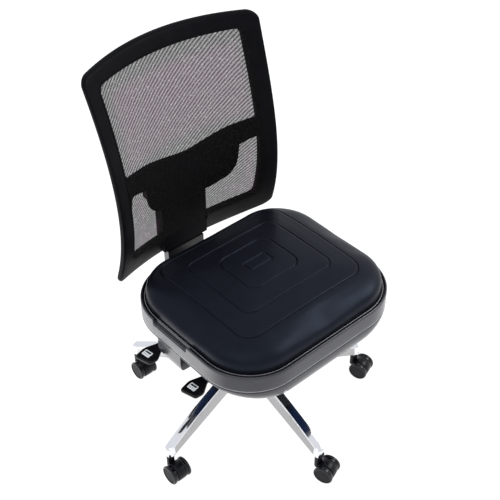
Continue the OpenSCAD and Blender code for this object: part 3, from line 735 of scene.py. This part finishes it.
def crossbar():
    """The crossbar and lumbar panel: a curved plate with rolled edges above and below."""
    table = np.array(CROSSBAR) * MM
    right = []
    for (xa, *_), (xb, *_) in zip(table, table[1:]):
        right += list(np.linspace(xa, xb, 1 + max(1, round((xb - xa) / 0.006)))[:-1])
    right.append(table[-1][0])
    xs = [-x for x in reversed(right[1:])] + right
    edge, depth = 0.0022, 0.008
    rolls = [(0, edge), (edge * 0.3, edge * 0.3), (edge, 0)]
    loops = []
    for x in xs:
        low, high = np.interp(abs(x), table[:, 0], table[:, 1]), np.interp(abs(x), table[:, 0], table[:, 2])
        front = [(low + up, back) for up, back in rolls]
        front += [(low + f * (high - low), 0) for f in np.linspace(0.06, 0.94, 12)]
        front += [(high - up, back) for up, back in reversed(rolls)]
        rear = [(high, depth - 0.001), (high - 0.001, depth)]
        rear += [(low + f * (high - low), depth) for f in np.linspace(0.94, 0.06, 10)]
        rear += [(low + 0.001, depth), (low, depth - 0.001)]
        loops.append([(x, back_y(x, z) + back, z) for z, back in front + rear])
    return skin(loops)


def back_frame():
    """Border, crossbar and lumbar panel in one moulding."""
    obj = outward(make_piece("back_frame", *back_ring(), "back_plastic", "backrest"))
    bar = helper_object("bar", *crossbar())
    merge_shapes(obj, bar)
    room = [(-0.0682, 0.389), (0.0682, 0.389), (0.0682, 0.470), (-0.0682, 0.470)]
    foot = helper_object("foot_room", *extrude(room, 0.19, 0.30, axis=1))
    cut_shapes(obj, foot)
    smooth_by_angle(obj, 40)
    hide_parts("back_frame")
    return obj


def back_mesh():
    """One stretched sheet over both windows, following the back's curve just in front of its front surface."""
    middle = np.array([0, (WINDOW_LOW + WINDOW_TOP) / 2])
    line = 0.86 * INNER_LINE + 0.14 * OUTER_LINE
    rings = 30
    loops = []
    for r in range(1, rings + 1):
        f = r / rings
        loop = []
        for p in line:
            x, z = middle + (p - middle) * f
            loop.append((x, back_y(x, z) - 0.0009, z))
        loops.append(loop)
    verts, faces = skin(loops, caps=False)
    centre = len(verts)
    verts.append((0, back_y(0, middle[1]) - 0.0009, middle[1]))
    n = len(line)
    faces += [(centre, (i + 1) % n, i) for i in range(n)]
    obj = make_piece("back_mesh", verts, faces, "back_mesh", "backrest")
    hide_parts("back_mesh")
    return obj


# ---------- base ----------

COLUMN_R = 0.025
LEG_STATIONS = [0.018, 0.050, 0.090, 0.130, 0.170, 0.210, 0.245, 0.270, 0.288, 0.300]
LEG_TIP_R = 0.0138


def leg_section(half_low, half_top, low, top, reach, roll=0.0028):
    """Points round a leg at a distance out: flat top with rolled edges, sides that lean in, open side down."""
    roll = min(roll, half_top * 0.6)
    right = [(half_low - 0.002, low), (half_low, low + 0.002), (half_top + 0.0006, top - roll),
             (half_top - 0.1 * roll, top - 0.4 * roll), (half_top - 0.45 * roll, top - 0.08 * roll),
             (half_top - roll, top), (half_top * 0.45, top + 0.0003)]
    points = right + [(0, top + 0.0005)] + [(-y, z) for y, z in reversed(right)]
    return [(reach, y, z) for y, z in points]


def leg_shape(angle):
    """One leg along the angle: tapering, then a rounded nose over the caster stem."""
    reach = math.hypot(*STEMS[0][:2])
    hub_top, tip_top, hub_low, tip_low = 0.152, 0.095, 0.118, 0.068
    loops = []
    for r in LEG_STATIONS:
        f = min(1.0, (r - 0.020) / (reach - 0.020))
        low = hub_low + f * (tip_low - hub_low)
        top = hub_top + (0.35 * f + 0.65 * f * f) * (tip_top - hub_top)
        loops.append(leg_section(0.017 + f * (LEG_TIP_R - 0.017), 0.012 + f * (0.0112 - 0.012), low, top, r))
    for a in (20, 38, 54, 67, 78, 86):
        back = math.cos(math.radians(a))
        nose = reach + LEG_TIP_R * math.sin(math.radians(a)) - 0.002 * (1 - back)
        drop = 0.0075 * math.sin(math.radians(a)) ** 3
        half_low, half_top = LEG_TIP_R * back + 0.0004, 0.0112 * back + 0.0003
        loops.append(leg_section(half_low, half_top, tip_low, tip_top - drop, nose, 0.0035))
    c, s = math.cos(angle), math.sin(angle)
    turn = np.array([[c, -s, 0], [s, c, 0], [0, 0, 1]])
    return skin([[turn @ np.array(p) for p in loop] for loop in loops])


def star_base():
    """Five legs and their hub, with the column's bore, the stem sockets and the channels underneath."""
    hub = [(0, 0.0642), (0.0325, 0.0642), (0.0345, 0.067), (0.036, 0.080), (0.036, 0.142), (0.0352, 0.1475),
           (0.0330, 0.1525), (0.0300, 0.1553), (0.0275, 0.156), (0, 0.156)]
    verts, faces = revolve(hub, (0, 0, 0), (0, 0, 1), 96)
    obj = outward(make_piece("star_base", verts, faces, "polished_aluminium", "base"))
    angles = [math.atan2(stem[1], stem[0]) for stem in STEMS]
    merge_shapes(obj, *[helper_object("leg", *leg_shape(a)) for a in angles])
    bore = [(0, 0.05), (COLUMN_R, 0.05), (COLUMN_R, 0.17), (0, 0.17)]
    tools = [helper_object("bore", *revolve(bore, (0, 0, 0), (0, 0, 1)))]
    for stem, angle in zip(STEMS, angles):
        socket = [(0, 0.06), (0.0057, 0.06), (0.0057, 0.0882), (0, 0.0882)]
        tools.append(helper_object("socket", *revolve(socket, (stem[0], stem[1], 0), (0, 0, 1), 32)))
        side = [(0.046, 0.060), (0.285, 0.060), (0.285, 0.089), (0.046, 0.138)]
        verts, faces = extrude(side, -0.007, 0.007, axis=1)
        c, s = math.cos(angle), math.sin(angle)
        turned = [(c * v[0] - s * v[1], s * v[0] + c * v[1], v[2]) for v in verts]
        tools.append(helper_object("channel", turned, faces))
    cut_shapes(obj, *tools)
    smooth_by_angle(obj, 32)
    # the legs' sides are left satin, and their darker colour is painted shade, standing in for the shadowed floor
    # they reflect
    obj.data.materials.append(material("satin_aluminium_painted_shade"))
    for polygon in obj.data.polygons:
        if abs(polygon.normal.z) < 0.35 and 0.04 < polygon.center.xy.length < 0.303:
            polygon.material_index = 1
    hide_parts("star_base")
    return obj


# ---------- casters ----------

HOOD_HALF = 0.012
HOOD_R = WHEEL_R - 0.001


def caster(k):
    """One twin-wheel caster: hood with its swivel boss, and two grooved wheels."""
    name = f"caster_{k}"
    stem = STEMS[k - 1]
    roll = joint_of(f"{name}_left_roll")
    hub, axis = Vector(roll["pos_m"]), Vector(roll["axis"])
    half = HOOD_HALF
    hood = [(0, -half), (HOOD_R - 0.0014, -half), (HOOD_R - 0.0004, -half + 0.0004),
            (HOOD_R, -half + 0.0014), (HOOD_R + 0.0002, 0), (HOOD_R, half - 0.0014),
            (HOOD_R - 0.0004, half - 0.0004), (HOOD_R - 0.0014, half), (0, half)]
    obj = outward(make_piece(f"{name}_hood", *revolve(hood, hub, axis), "black_plastic", name))
    boss = [(0, 0.027), (0.0095, 0.027), (0.0095, 0.0595), (0.0091, 0.0611), (0.0080, 0.0619), (0, 0.0619)]
    merge_shapes(obj, helper_object("boss", *revolve(boss, (stem[0], stem[1], 0), (0, 0, 1), 48)))
    out = Vector((hub.x - stem[0], hub.y - stem[1], 0)).normalized()
    side = Vector((-out.y, out.x, 0))
    foot = [hub + out * a + side * b + Vector((0, 0, z - hub.z)) for z in (-0.002, 0.006)
            for a, b in ((-0.05, -0.02), (0.05, -0.02), (0.05, 0.02), (-0.05, 0.02))]
    foot_faces = [(0, 3, 2, 1), (4, 5, 6, 7), (0, 1, 5, 4), (1, 2, 6, 5), (2, 3, 7, 6), (3, 0, 4, 7)]
    hole = [(0, 0.0393), (0.0057, 0.0393), (0.0057, 0.07), (0, 0.07)]
    axle = [(0, -0.02), (0.0030, -0.02), (0.0030, 0.02), (0, 0.02)]
    cut_shapes(obj, helper_object("foot", foot, foot_faces),
               helper_object("hole", *revolve(hole, (stem[0], stem[1], 0), (0, 0, 1), 32)),
               helper_object("axle_hole", *revolve(axle, hub, axis, 32)))
    smooth_by_angle(obj, 35)
    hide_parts(f"{name}_yoke")

    r, inner = WHEEL_R, HOOD_HALF + 0.0007
    # radius, and distance out from the wheel's inner face
    wheel = [(0.0031, 0.0), (r - 0.0034, 0.0), (r - 0.0024, 0.0004), (r - 0.0020, 0.0014),
             (r - 0.0020, 0.0042), (r - 0.0030, 0.0046), (r - 0.0030, 0.0054), (r - 0.0012, 0.0058),
             (r - 0.0002, 0.0066), (r, 0.0078), (r, 0.0102), (r - 0.0003, 0.0113),
             (r - 0.0010, 0.0121), (r - 0.0019, 0.0127), (r - 0.0029, 0.0130), (r - 0.0040, 0.0130),
             (r - 0.0046, 0.0128), (r - 0.0050, 0.0122), (r - 0.0054, 0.0118), (r - 0.0065, 0.0117),
             (r - 0.0120, 0.0119), (0.0060, 0.0121), (0, 0.0121), (0, 0.0100),
             (0.0031, 0.0100)]
    for side_name in ("left", "right"):
        low, high, _ = node_box(f"{name}_wheel_{side_name}")
        middle = (low + high) / 2
        way = axis if (Vector(middle) - hub).dot(axis) > 0 else -axis
        profile = [(radius, inner + along) for radius, along in wheel]
        verts, faces = revolve(profile, hub, way, 80)
        body = f"{name}_{side_name}"
        piece = outward(make_piece(body, verts, faces, "wheel_plastic", body))
        piece.data.materials.append(material("wheel_face"))
        for polygon in piece.data.polygons:
            offset = polygon.center - hub
            along = offset.dot(way)
            if along > inner + 0.0116 and (offset - way * along).length < r - 0.0042:
                polygon.material_index = 1
        smooth_by_angle(piece, 42)
        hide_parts(f"{name}_wheel_{side_name}")


# ---------- levers ----------

PADDLE = [(6, 11), (0, 11.5), (-31, 19.5), (-62, 12), (-50, -30), (-27, -31.5), (0, -11.5), (6, -11)]


def rounded(outline, radius, steps=6):
    """The outline with its corners rounded."""
    points = []
    n = len(outline)
    for i in range(n):
        before, at, after = (np.array(outline[(i + d) % n], float) for d in (-1, 0, 1))
        reach = min(radius, 0.4 * np.linalg.norm(before - at), 0.4 * np.linalg.norm(after - at))
        start = at + (before - at) / np.linalg.norm(before - at) * reach
        end = at + (after - at) / np.linalg.norm(after - at) * reach
        for s in np.linspace(0, 1, steps):
            points.append((1 - s) ** 2 * start + 2 * s * (1 - s) * at + s ** 2 * end)
    return points


def inset(outline, distance):
    """The outline moved in by a distance, toward its middle side."""
    middle = np.mean(outline, axis=0)
    moved = []
    n = len(outline)
    for i in range(n):
        along = outline[(i + 1) % n] - outline[i - 1]
        normal = np.array([-along[1], along[0]]) / np.linalg.norm(along)
        if np.dot(normal, middle - outline[i]) < 0:
            normal = -normal
        moved.append(outline[i] + normal * distance)
    return moved


def paddle(lever):
    """A finger paddle with a broad bevelled edge and a dished top."""
    low, high, _ = node_box(f"{lever}_paddle")
    outline = rounded(PADDLE, 7)
    shift = np.array([low[0] / MM - min(p[0] for p in PADDLE), high[1] / MM - max(p[1] for p in PADDLE)])
    thick = high[2] - low[2]
    # inset in millimetres, and height as a share of the thickness
    steps = [(2.2, 0.0), (0.9, 0.05), (0.2, 0.16), (0, 0.3), (0, 0.52), (0.25, 0.66), (0.9, 0.82),
             (1.8, 0.94), (2.8, 1.0), (3.6, 0.985)]
    loops = []
    for distance, share in steps:
        ring = inset(outline, distance) if distance else outline
        loops.append([((p + shift)[0] * MM, (p + shift)[1] * MM, low[2] + share * thick) for p in ring])
    obj = outward(make_piece(f"{lever}_grip", *skin(loops), "black_plastic", lever))
    smooth_by_angle(obj, 50)
    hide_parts(f"{lever}_paddle")
    return obj


def label(lever):
    """A white label with a generic dark sign: a bar over a row of short strokes."""
    low, high, middle = node_box(f"{lever}_label")
    turn = math.radians(8)
    half_x, half_y, thick = 0.0085, 0.011, high[2] - low[2]
    axes = np.array([[math.cos(turn), -math.sin(turn)], [math.sin(turn), math.cos(turn)]])

    def tile(x0, x1, y0, y1, foot, top, radius):
        corners = rounded([(x0, y0), (x1, y0), (x1, y1), (x0, y1)], radius, 4)
        ring = [axes @ p + middle[:2] for p in corners]
        return skin([[(p[0], p[1], foot) for p in ring], [(p[0], p[1], top) for p in ring]])

    verts, faces = tile(-half_x, half_x, -half_y, half_y, low[2], high[2], 0.0012)
    plate = make_piece(f"{lever}_sign", verts, faces, "label", lever)
    outward(plate)
    smooth_by_angle(plate, 30)
    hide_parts(f"{lever}_label")
    foot, top = high[2] - thick * 0.3, high[2] + 0.00015
    strokes = [tile(0.0012, 0.0062, -0.0085, 0.0085, foot, top, 0.0006)]
    for y in (-0.0070, -0.0026, 0.0018, 0.0058):
        strokes.append(tile(-0.0052, -0.0022, y, y + 0.0016, foot, top, 0.0004))
    ink = outward(make_piece(f"{lever}_sign_ink", *together(strokes), "label_ink", lever))
    smooth_by_angle(ink, 30)


# ---------- finishing the CAD nodes ----------

BEVELS = {
    "mechanism_housing": 0.0020, "mechanism_cover": 0.0015, "back_bracket": 0.0012, "bracket_cover": 0.0010,
    "back_spine": 0.0020, "arm_mount_left": 0.0030, "arm_mount_right": 0.0030, "tension_knob": 0.0015,
    "column_bush": 0.0012, "column_outer_tube": 0.0008, "seat_pan": 0.0010, "gas_spring_cylinder": 0.0010,
    "tilt_hinge_pin": 0.0010, "seat_bolts": 0.0005, "seat_nuts": 0.0004, "back_screws": 0.0005,
    "caster_stems": 0.0005, "tension_screw": 0.0005, "piston_rod": 0.0004, "gas_release_button": 0.0004,
    "thrust_bearing": 0.0005, "retaining_clip": 0.0002, "lever_pivot_pins": 0.0003,
}


def finish_nodes():
    """Every CAD node that stays visible gets its material, and plain solids get rounded edges."""
    slot_of = {s["node"]: s["material_slot"] for s in frame["record"]["subparts"]}
    for node, obj in frame["nodes"].items():
        obj.data.materials.clear()
        obj.data.materials.append(material(slot_of[node]))
        obj.data.polygons.foreach_set("use_smooth", [True] * len(obj.data.polygons))
        if node in BEVELS:
            bevel(obj, BEVELS[node])
        else:
            obj.data.set_sharp_from_angle(angle=math.radians(30))


# ---------- stage ----------

def stage():
    """A pale glowing floor, like a light table, brightest beside the chair's right-hand side."""
    size = 8
    mesh = bpy.data.meshes.new("floor")
    corners = [(-size, -size, 0), (size, -size, 0), (size, size, 0), (-size, size, 0)]
    mesh.from_pydata(corners, [], [(0, 1, 2, 3)])
    floor = bpy.data.objects.new("floor", mesh)
    bpy.context.scene.collection.objects.link(floor)
    paint = Paint("floor", (0.22, 0.22, 0.225), 0.7, Specular_IOR_Level=0.1)
    paint.colours(paint.noise(3, 2), (0.215, 0.215, 0.22), (0.225, 0.225, 0.23))
    paint.shader.inputs["Emission Color"].default_value = (1, 1, 1, 1)
    split = paint.nodes.new("ShaderNodeSeparateXYZ")
    paint.links.new(paint.coords, split.inputs["Vector"])
    across = paint.math("POWER", paint.math("ADD", split.outputs["X"], 0.66), 2.0)
    along = paint.math("POWER", paint.math("SUBTRACT", split.outputs["Y"], 0.30), 2.0)
    away = paint.math("SQRT", paint.math("ADD", across, along))
    paint.links.new(paint.remap(away, 2.4, 0.93, 0.22, 0.52), paint.shader.inputs["Emission Strength"])
    mesh.materials.append(paint.material)


def area_light(name, place, aim, size, power, colour=(1, 1, 1)):
    light = bpy.data.lights.new(name, "AREA")
    light.shape = "RECTANGLE"
    light.size, light.size_y = size
    light.energy = power
    light.color = colour
    obj = bpy.data.objects.new(name, light)
    obj.location = place
    obj.rotation_euler = (Vector(aim) - Vector(place)).to_track_quat("-Z", "Y").to_euler()
    bpy.context.scene.collection.objects.link(obj)
    return obj


def studio():
    """White all round, with two broad soft lights."""
    world = bpy.data.worlds.new("studio")
    bpy.context.scene.world = world
    world.use_nodes = True
    background = world.node_tree.nodes["Background"]
    background.inputs["Color"].default_value = (0.94, 0.96, 1.0, 1)
    background.inputs["Strength"].default_value = 0.85
    area_light("key", (-1.4, -0.6, 2.9), (0, 0, 0.4), (2.2, 2.2), 14)
    area_light("fill", (1.9, -1.1, 2.3), (0, 0, 0.3), (1.3, 1.3), 38)


def camera():
    """Looks down on the chair from its front and right-hand side."""
    place = Vector((-1.14205, -1.30185, 1.96444))
    look = Vector((0.50785, 0.57093, -0.64508))
    data = bpy.data.cameras.new("camera")
    data.lens = 70.38
    data.sensor_width = 36
    obj = bpy.data.objects.new("camera", data)
    obj.location = place
    obj.rotation_euler = look.to_track_quat("-Z", "Y").to_euler()
    bpy.context.scene.collection.objects.link(obj)
    bpy.context.scene.camera = obj


# ---------- build ----------

bpy.context.scene.view_settings.view_transform = "Standard"
camera()
stage()
studio()
finish_nodes()
cushion()
tray_rim()
tray_lower()
back_frame()
back_mesh()
star_base()
for number in range(1, 6):
    caster(number)
for lever in ("height_lever", "recline_lever"):
    paddle(lever)
    label(lever)
